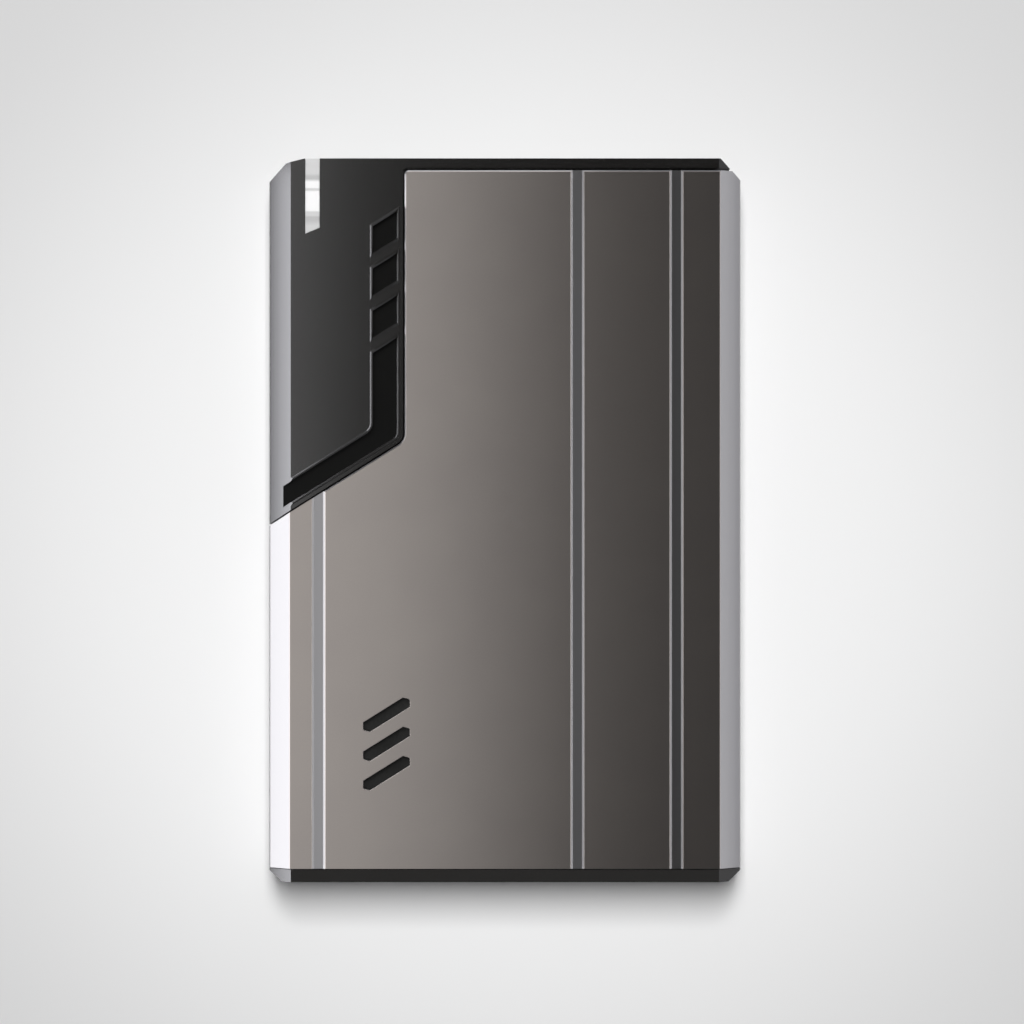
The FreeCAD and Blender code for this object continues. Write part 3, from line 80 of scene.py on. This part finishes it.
# lights: soft boxes, each given as the brightness of its face; sizes and places in mm
# "keptOff" names pieces that a box is flagged off from, and "only" the ones that it is kept for
softBoxes = {
    # long box over the left half: the satin face fades from left to right under its edge
    "overheadBox": {"size": (500, 1400), "place": (-258, 580, 213), "aim": (-258, 580, 0), "glow": 0.735,
                    "diffuse": False, "glossy": True, "keptOff": ("head_cap", "tail_cap")},
    # the same box further left for the corner cover, which fades sooner than the metal
    "coverBox": {"size": (600, 1400), "place": (-342, 580, 213), "aim": (-342, 580, 0), "glow": 1.15,
                 "diffuse": False, "glossy": True, "only": ("head_cap",)},
    # low strip at the left: the bright line of light in the metal's left bevel
    "leftStrip": {"size": (264, 22), "place": (-70, -69, 21), "aim": (0, -69, 21), "glow": 2.0,
                  "diffuse": False, "glossy": True, "colour": "#fdfdfe", "keptOff": ("head_cap", "tail_cap")},
    # a narrower strip there for the mouldings, so that their left bevels fade towards the foot
    "coverStrip": {"size": (264, 13), "place": (-70, -69, 21.2), "aim": (0, -69, 21.2), "glow": 6.2,
                   "diffuse": False, "glossy": True, "colour": "#f9f9ff", "only": ("head_cap", "tail_cap")},
    # strip at the right: thin light lines in the grooves' left walls, most in the far left groove
    "rightStrip": {"size": (300, 10), "place": (85, 0, 53), "aim": (-32, 0, 13), "glow": 3.5,
                   "diffuse": False, "glossy": True, "only": ("sleeve",)},
    # low panel at the right: the metal's right bevel fades towards its foot under its edge
    "rightPanel": {"size": (200, 10), "place": (50, 0, 17.5), "aim": (0, 0, 17.5), "glow": 0.42,
                   "diffuse": False, "glossy": True, "only": ("sleeve",)},
    # short strip beyond the head end: the light line along the sleeve's head edge
    "headStrip": {"size": (60, 24), "place": (-15, 110, 22), "aim": (-15, 0, 22), "glow": 1.3,
                  "diffuse": False, "glossy": True},
    # long key high over the head end: a short soft shadow at the tail end, hardly any at the sides
    "keyBox": {"size": (560, 1250), "place": (0, 615, 1910), "aim": (0, 0, 0), "glow": 13.9,
               "diffuse": True, "glossy": False},
}
# an area lamp of 4 watts per square metre has a face of brightness 1
wattsPerGlow = 4


# a list of pieces that a box reaches, or is kept off
def linkPieces(box, names, state):
    reached = bpy.data.collections.new(box.name + "Pieces")
    for name in names:
        reached.objects.link(nodes[name])
    for entry in reached.collection_objects:
        entry.light_linking.link_state = state
    box.light_linking.receiver_collection = reached


def placeSoftBox(name, settings):
    lamp = bpy.data.lights.new(name, "AREA")
    lamp.shape = "RECTANGLE"
    lamp.size, lamp.size_y = (side * mm for side in settings["size"])
    lamp.energy = wattsPerGlow * settings["glow"] * lamp.size * lamp.size_y
    lamp.color = linear(settings.get("colour", "#ffffff"))[:3]
    box = bpy.data.objects.new(name, lamp)
    bpy.context.scene.collection.objects.link(box)
    place, aim = (Vector(settings[key]) * mm for key in ("place", "aim"))
    box.location = place
    box.rotation_euler = (aim - place).to_track_quat("-Z", "Y").to_euler()
    box.visible_camera = False
    box.visible_diffuse = settings["diffuse"]
    box.visible_glossy = settings["glossy"]
    if "only" in settings:
        linkPieces(box, settings["only"], "INCLUDE")
    if "keptOff" in settings:
        linkPieces(box, settings["keptOff"], "EXCLUDE")


for boxName, boxSettings in softBoxes.items():
    placeSoftBox(boxName, boxSettings)

# room: pale walls up to a dark ceiling, seen in the shiny surfaces more than it lights the matt ones
room = {"wall": "#f7f7fc", "ceiling": "#222224", "wallTop": 0.16, "ceilingStart": 0.36,
        "bright": 0.76, "onMatt": 0.4}


def paintRoom(settings):
    world = bpy.data.worlds.new("room")
    bpy.context.scene.world = world
    world.use_nodes = True
    tree = world.node_tree
    tree.nodes.clear()
    place = addNode(tree, "ShaderNodeTexCoord")
    height = addNode(tree, "ShaderNodeSeparateXYZ", {"Vector": place.outputs["Generated"]})
    rise = addNode(tree, "ShaderNodeMapRange", {
        "Value": height.outputs["Z"], "From Min": settings["wallTop"], "From Max": settings["ceilingStart"],
    }, interpolation_type="SMOOTHSTEP")
    shade = addNode(tree, "ShaderNodeMix", {
        "Factor": rise.outputs["Result"], "A": linear(settings["wall"]), "B": linear(settings["ceiling"]),
    }, data_type="RGBA")
    ray = addNode(tree, "ShaderNodeLightPath")
    share = addNode(tree, "ShaderNodeMapRange", {
        "Value": ray.outputs["Is Diffuse Ray"], "To Min": settings["bright"], "To Max": settings["onMatt"],
    })
    glow = addNode(tree, "ShaderNodeBackground", {
        "Color": shade.outputs["Result"], "Strength": share.outputs["Result"],
    })
    addNode(tree, "ShaderNodeOutputWorld", {"Surface": glow.outputs["Background"]})


paintRoom(room)

# floor: white card with painted shade, greying a little away from the middle where the light falls off; mm
floorCard = {"side": 6000, "middle": "#fdfdfd", "edge": "#dddddd", "fade": (50, 134), "centre": (0, -6)}


def layFloor(settings):
    bpy.ops.object.select_all(action="DESELECT")
    bpy.ops.mesh.primitive_plane_add(size=settings["side"] * mm, location=(0, 0, 0))
    floor = bpy.context.active_object
    floor.name = "floor"
    material = bpy.data.materials.new("white card")
    material.use_nodes = True
    tree = material.node_tree
    shader = tree.nodes["Principled BSDF"]
    place = addNode(tree, "ShaderNodeTexCoord")
    x, y = settings["centre"]
    away = addNode(tree, "ShaderNodeVectorMath", {0: place.outputs["Object"], 1: (x * mm, y * mm, 0)},
                   operation="DISTANCE")
    # painted shade: the card greys away from the middle
    near, far = settings["fade"]
    fade = addNode(tree, "ShaderNodeMapRange", {
        "Value": away.outputs["Value"], "From Min": near * mm, "From Max": far * mm,
    }, interpolation_type="SMOOTHSTEP")
    shade = addNode(tree, "ShaderNodeMix", {
        "Factor": fade.outputs["Result"], "A": linear(settings["middle"]), "B": linear(settings["edge"]),
    }, data_type="RGBA")
    tree.links.new(shade.outputs["Result"], shader.inputs["Base Color"])
    shader.inputs["Roughness"].default_value = 1.0
    shader.inputs["Specular IOR Level"].default_value = 0.0
    floor.data.materials.append(material)


layFloor(floorCard)
print("camera, lights and floor placed")


# what every surface shares: noise for its grain, a slower cloud over it (12 mm), and the spread of their sum
grainNoise = {"detail": 3.0, "rough": 0.6, "cloud": 12, "cloudDetail": 2.0, "spread": (0.6, 1.4)}


# a surface: grain of a real size varies its colour and roughness and raises it a little
# "under" gives another shade below a level, used for painted shade; sizes in mm
def makeSurface(name, finish):
    material = bpy.data.materials.new(name)
    material.use_nodes = True
    tree = material.node_tree
    shader = tree.nodes["Principled BSDF"]
    place = addNode(tree, "ShaderNodeTexCoord")
    turned = addNode(tree, "ShaderNodeMapping", {
        "Vector": place.outputs["Object"], "Scale": finish.get("stretch", (1, 1, 1)),
    })
    grain = addNode(tree, "ShaderNodeTexNoise", {
        "Vector": turned.outputs["Vector"], "Scale": 1 / (finish["grain"] * mm),
        "Detail": grainNoise["detail"], "Roughness": grainNoise["rough"],
    })
    cloud = addNode(tree, "ShaderNodeTexNoise", {
        "Vector": place.outputs["Object"], "Scale": 1 / (grainNoise["cloud"] * mm),
        "Detail": grainNoise["cloudDetail"],
    })
    both = addNode(tree, "ShaderNodeMath", {0: grain.outputs["Fac"], 1: cloud.outputs["Fac"]}, operation="ADD")
    least, most = grainNoise["spread"]
    share = addNode(tree, "ShaderNodeMapRange", {
        "Value": both.outputs["Value"], "From Min": least, "From Max": most,
    })
    shade = addNode(tree, "ShaderNodeMix", {
        "Factor": share.outputs["Result"], "A": linear(finish["dark"]), "B": linear(finish["light"]),
    }, data_type="RGBA")
    # painted shade: a darker shade below a level
    if "under" in finish:
        level, edge = finish["under"]["level"], finish["under"]["edge"]
        height = addNode(tree, "ShaderNodeSeparateXYZ", {"Vector": place.outputs["Object"]})
        above = addNode(tree, "ShaderNodeMapRange", {
            "Value": height.outputs["Z"], "From Min": (level - edge) * mm, "From Max": level * mm,
        })
        shade = addNode(tree, "ShaderNodeMix", {
            "Factor": above.outputs["Result"],
            "A": linear(finish["under"]["shade"]), "B": shade.outputs["Result"],
        }, data_type="RGBA")
    low, high = finish["rough"]
    rough = addNode(tree, "ShaderNodeMapRange", {"Value": grain.outputs["Fac"], "To Min": low, "To Max": high})
    raised = addNode(tree, "ShaderNodeBump", {
        "Height": grain.outputs["Fac"], "Strength": 1.0, "Distance": finish["relief"] * mm,
    })
    tree.links.new(shade.outputs["Result"], shader.inputs["Base Color"])
    tree.links.new(rough.outputs["Result"], shader.inputs["Roughness"])
    tree.links.new(raised.outputs["Normal"], shader.inputs["Normal"])
    for socket, number in finish.get("shader", {}).items():
        shader.inputs[socket].default_value = number
    return material


def dress(material, *names):
    for name in names:
        nodes[name].data.materials.clear()
        nodes[name].data.materials.append(material)


# sleeve: bead-blasted and anodised, an even satin grey with a very fine grit
# the grit is really under 0.1 mm, and is drawn coarser so that it shows
# below the face's level, in the grooves and on the bevels, the metal is painted a darker, cooler grey: painted
# shade
sleeveFinish = {"light": "#aca5a0", "dark": "#a69f9b", "grain": 0.22, "rough": (0.28, 0.34), "relief": 0.001,
                "under": {"shade": "#a1a0a2", "level": 12.98, "edge": 0.1}, "shader": {"Metallic": 1.0}}
dress(makeSurface("anodised aluminium", sleeveFinish), "sleeve")

# head cap and corner cover: ABS from a polished mould, a dark satin with a faint grain
capFinish = {"light": "#1b1a19", "dark": "#171615", "grain": 0.3, "rough": (0.19, 0.23), "relief": 0.0003,
             "shader": {"Specular IOR Level": 0.7}}
dress(makeSurface("moulded ABS", capFinish), "head_cap")

# tail cap: the same ABS from a spark-eroded mould, a little lighter and more even
tailFinish = {"light": "#2f2e2d", "dark": "#2a2928", "grain": 0.3, "rough": (0.2, 0.25), "relief": 0.0005,
              "shader": {"Specular IOR Level": 0.65}}
dress(makeSurface("spark-eroded ABS", tailFinish), "tail_cap")

# window plate: coated black acrylic, deep and even, that gives back little light
backerFinish = {"light": "#0d0d0c", "dark": "#080808", "grain": 1.5, "rough": (0.3, 0.38), "relief": 0.0005,
                "shader": {"Specular IOR Level": 0.1}}
dress(makeSurface("black acrylic", backerFinish), "window_backer")

# screen behind the slots: woven black polyester
screenFinish = {"light": "#2b2b2a", "dark": "#0e0e0d", "grain": 0.25, "rough": (0.55, 0.8), "relief": 0.03,
                "stretch": (1, 0.35, 1)}
dress(makeSurface("woven polyester", screenFinish), "vent_screen")

# inside: tray, boards, plugs and the drive's own metals
tray = {"light": "#2c2c2d", "dark": "#242425", "grain": 0.4, "rough": (0.5, 0.62), "relief": 0.004}
dress(makeSurface("tray ABS", tray), "drive_tray")
pads = {"light": "#232324", "dark": "#19191a", "grain": 0.3, "rough": (0.7, 0.85), "relief": 0.006}
dress(makeSurface("silicone rubber", pads), "shock_pads", "hdd_gasket")
foam = {"light": "#4b4b4e", "dark": "#2f2f31", "grain": 0.6, "rough": (0.85, 0.98), "relief": 0.12}
dress(makeSurface("polyurethane foam", foam), "tail_foam", "top_foam")
screws = {"light": "#b9b8b5", "dark": "#9c9b98", "grain": 0.5, "rough": (0.25, 0.4), "relief": 0.0006,
          "shader": {"Metallic": 1.0}}
dress(makeSurface("zinc-plated steel", screws),
      "drive_screws", "board_screws", "hdd_cover_screws", "clamp_screw")
board = {"light": "#1e5a36", "dark": "#143f27", "grain": 0.8, "rough": (0.32, 0.45), "relief": 0.004}
dress(makeSurface("glass-epoxy board", board), "bridge_board", "hdd_board")
tin = {"light": "#cfcecb", "dark": "#b9b8b5", "grain": 0.35, "rough": (0.22, 0.3), "relief": 0.0004,
       "shader": {"Metallic": 1.0}}
dress(makeSurface("tinned steel", tin), "usb_shell", "crystal")
plug = {"light": "#1c1c1d", "dark": "#131314", "grain": 0.35, "rough": (0.45, 0.58), "relief": 0.003}
dress(makeSurface("glass-filled nylon", plug), "usb_tongue", "sata_socket", "hdd_connector")
chip = {"light": "#29292b", "dark": "#1d1d1f", "grain": 0.2, "rough": (0.55, 0.7), "relief": 0.004}
dress(makeSurface("moulding epoxy", chip), "bridge_chip")
statusLamp = {"light": "#f3f1e6", "dark": "#e2dfd0", "grain": 0.5, "rough": (0.3, 0.4), "relief": 0.002}
dress(makeSurface("white polycarbonate", statusLamp), "status_led")
casting = {"light": "#b4b6b8", "dark": "#989a9c", "grain": 0.5, "rough": (0.42, 0.56), "relief": 0.012,
           "shader": {"Metallic": 1.0}}
dress(makeSurface("die-cast aluminium", casting), "hdd_base")
sheet = {"light": "#cfcfcd", "dark": "#b5b5b3", "grain": 0.25, "rough": (0.24, 0.38), "relief": 0.002,
         "stretch": (1, 0.02, 1), "shader": {"Metallic": 1.0}}
dress(makeSurface("brushed stainless steel", sheet), "hdd_cover", "disc_clamp")
bearing = {"light": "#b3b3b4", "dark": "#999a9b", "grain": 0.3, "rough": (0.18, 0.28), "relief": 0.001,
           "stretch": (0.2, 0.2, 1), "shader": {"Metallic": 1.0}}
dress(makeSurface("ground bearing steel", bearing), "spindle_motor", "pivot_post")
turnedMetal = {"light": "#dadbdc", "dark": "#cbccce", "grain": 0.3, "rough": (0.24, 0.32), "relief": 0.0003,
               "shader": {"Metallic": 1.0}}
dress(makeSurface("machined aluminium", turnedMetal), "spindle_hub", "actuator_arm")
disc = {"light": "#d8d6d4", "dark": "#d2d0ce", "grain": 2.0, "rough": (0.02, 0.05), "relief": 0.0001,
        "shader": {"Metallic": 1.0}}
dress(makeSurface("sputtered glass disc", disc), "platter")
copper = {"light": "#b9673a", "dark": "#8a4524", "grain": 0.12, "rough": (0.28, 0.4), "relief": 0.01,
          "stretch": (1, 1, 0.2), "shader": {"Metallic": 1.0}}
dress(makeSurface("enamelled copper wire", copper), "voice_coil")
slider = {"light": "#3c3c40", "dark": "#2e2e32", "grain": 0.15, "rough": (0.15, 0.25), "relief": 0.0005}
dress(makeSurface("alumina carbide ceramic", slider), "head_sliders")
nickel = {"light": "#cdc8be", "dark": "#b5b0a6", "grain": 0.8, "rough": (0.16, 0.28), "relief": 0.002,
          "shader": {"Metallic": 1.0}}
dress(makeSurface("nickel-plated steel", nickel), "magnet_yoke", "lower_magnet")
ramp = {"light": "#e9e6dc", "dark": "#dbd7cb", "grain": 0.4, "rough": (0.35, 0.45), "relief": 0.002}
dress(makeSurface("acetal", ramp), "parking_ramp")
felt = {"light": "#efeee9", "dark": "#cfcec8", "grain": 0.3, "rough": (0.9, 1.0), "relief": 0.08}
dress(makeSurface("filter felt", felt), "air_filter")

# light bar: frosted acrylic; steps moulded inside it show as grey and white bands along it
# it is given a little painted light: the unlit bar glows faintly in its band colours; bands, grain, relief and
# depth in mm
barFinish = {
    "white": "#ffffff", "pale": "#d4d4d4", "grey": "#c0c0c0", "glow": 0.06,
    "bands": [(0.0, "pale"), (2.5, "pale"), (3.0, "grey"), (3.4, "grey"), (4.0, "white"), (4.8, "white"),
              (5.1, "pale"), (5.3, "pale"), (5.6, "white"), (8.6, "white"), (9.0, "pale"), (9.5, "pale"),
              (9.8, "grey"), (10.3, "grey"), (11.3, "pale"), (12.6, "pale")],
    "grain": 0.2, "rough": 0.3, "relief": 0.002, "milky": 0.3, "depth": 0.6,
}


def makeLightBar(settings):
    material = bpy.data.materials.new("frosted acrylic")
    material.use_nodes = True
    tree = material.node_tree
    shader = tree.nodes["Principled BSDF"]
    place = addNode(tree, "ShaderNodeTexCoord")
    along = addNode(tree, "ShaderNodeSeparateXYZ", {"Vector": place.outputs["Object"]})
    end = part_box("light_pipe")[1].y
    length = settings["bands"][-1][0] * mm
    share = addNode(tree, "ShaderNodeMapRange", {
        "Value": along.outputs["Y"], "From Min": end, "From Max": end - length,
    })
    bands = addNode(tree, "ShaderNodeValToRGB", {"Fac": share.outputs["Result"]})
    stops = bands.color_ramp.elements
    for position, _ in settings["bands"][1:-1]:
        stops.new(position * mm / length)
    for stop, (_, shade) in zip(stops, settings["bands"]):
        stop.color = linear(settings[shade])
    grain = addNode(tree, "ShaderNodeTexNoise", {
        "Vector": place.outputs["Object"], "Scale": 1 / (settings["grain"] * mm),
    })
    raised = addNode(tree, "ShaderNodeBump", {
        "Height": grain.outputs["Fac"], "Distance": settings["relief"] * mm,
    })
    tree.links.new(bands.outputs["Color"], shader.inputs["Base Color"])
    # painted light: the unlit bar glows faintly in its band colours
    tree.links.new(bands.outputs["Color"], shader.inputs["Emission Color"])
    tree.links.new(raised.outputs["Normal"], shader.inputs["Normal"])
    shader.inputs["Emission Strength"].default_value = settings["glow"]
    shader.inputs["Roughness"].default_value = settings["rough"]
    shader.inputs["Subsurface Weight"].default_value = settings["milky"]
    shader.inputs["Subsurface Radius"].default_value = [settings["depth"] * mm] * 3
    shader.inputs["Subsurface Scale"].default_value = 1.0
    return material


dress(makeLightBar(barFinish), "light_pipe")
print("materials on all nodes")

# port contacts: stamped strips under the two tongues, with tips turned up at the front; mm
# a row is its middle, its pitch and how many strips it has
portContacts = {"width": 0.26, "thickness": 0.06, "tail": 55.0, "level": 6.125, "tip": 0.3,
                "edge": 0.012, "edgeSteps": 2,
                "rows": ((-2.7, 0.8, 5), (4.15, 0.42, 5))}
contactFinish = {"light": "#dcc48a", "dark": "#b79a5c", "grain": 0.25, "rough": (0.2, 0.32), "relief": 0.001,
                 "shader": {"Metallic": 1.0}}


def selectFaces(piece, wanted):
    bpy.ops.object.mode_set(mode="EDIT")
    bpy.ops.mesh.select_all(action="DESELECT")
    bpy.ops.object.mode_set(mode="OBJECT")
    for face in piece.data.polygons:
        face.select = wanted(face)
    bpy.ops.object.mode_set(mode="EDIT")


def stampContact(settings, front):
    wide, thick = settings["width"] * mm, settings["thickness"] * mm
    tail, level = settings["tail"] * mm, settings["level"] * mm
    end = front + thick
    bpy.ops.object.select_all(action="DESELECT")
    bpy.ops.mesh.primitive_cube_add(size=1, location=(0, (tail + end) / 2, level - thick / 2),
                                    scale=(wide, end - tail, thick))
    strip = bpy.context.active_object
    bpy.ops.object.transform_apply(location=True, rotation=True, scale=True)
    bpy.ops.object.mode_set(mode="EDIT")
    bpy.ops.mesh.select_all(action="SELECT")
    bpy.ops.mesh.bisect(plane_co=(0, front, 0), plane_no=(0, 1, 0))
    # the tip goes up the front of the tongue, from the face there that looks up
    looksUp = 0.9
    selectFaces(strip, lambda face: face.normal.z > looksUp and face.center.y > front)
    bpy.ops.mesh.extrude_region_move(TRANSFORM_OT_translate={"value": (0, 0, settings["tip"] * mm)})
    bpy.ops.object.mode_set(mode="OBJECT")
    rounded = strip.modifiers.new("edge", "BEVEL")
    rounded.width = settings["edge"] * mm
    rounded.segments = settings["edgeSteps"]
    bpy.ops.object.modifier_apply(modifier=rounded.name)
    return strip


def layContacts(settings):
    strip = stampContact(settings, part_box("usb_tongue")[1].y)
    strips = []
    for middle, pitch, count in settings["rows"]:
        for i in range(count):
            copy = strip.copy()
            copy.data = strip.data.copy()
            bpy.context.scene.collection.objects.link(copy)
            copy.location.x = (middle + (i - (count - 1) / 2) * pitch) * mm
            strips.append(copy)
    bpy.data.objects.remove(strip)
    bpy.ops.object.select_all(action="DESELECT")
    for copy in strips:
        copy.select_set(True)
    bpy.context.view_layer.objects.active = strips[0]
    bpy.ops.object.transform_apply(location=True, rotation=True, scale=True)
    bpy.ops.object.join()
    contacts = bpy.context.active_object
    contacts.name = "usb_contacts"
    contacts.data.materials.append(makeSurface("gold-flashed nickel", contactFinish))
    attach(contacts, "case")


layContacts(portContacts)
print("port contacts laid")

bpy.context.scene.view_settings.view_transform = "Standard"
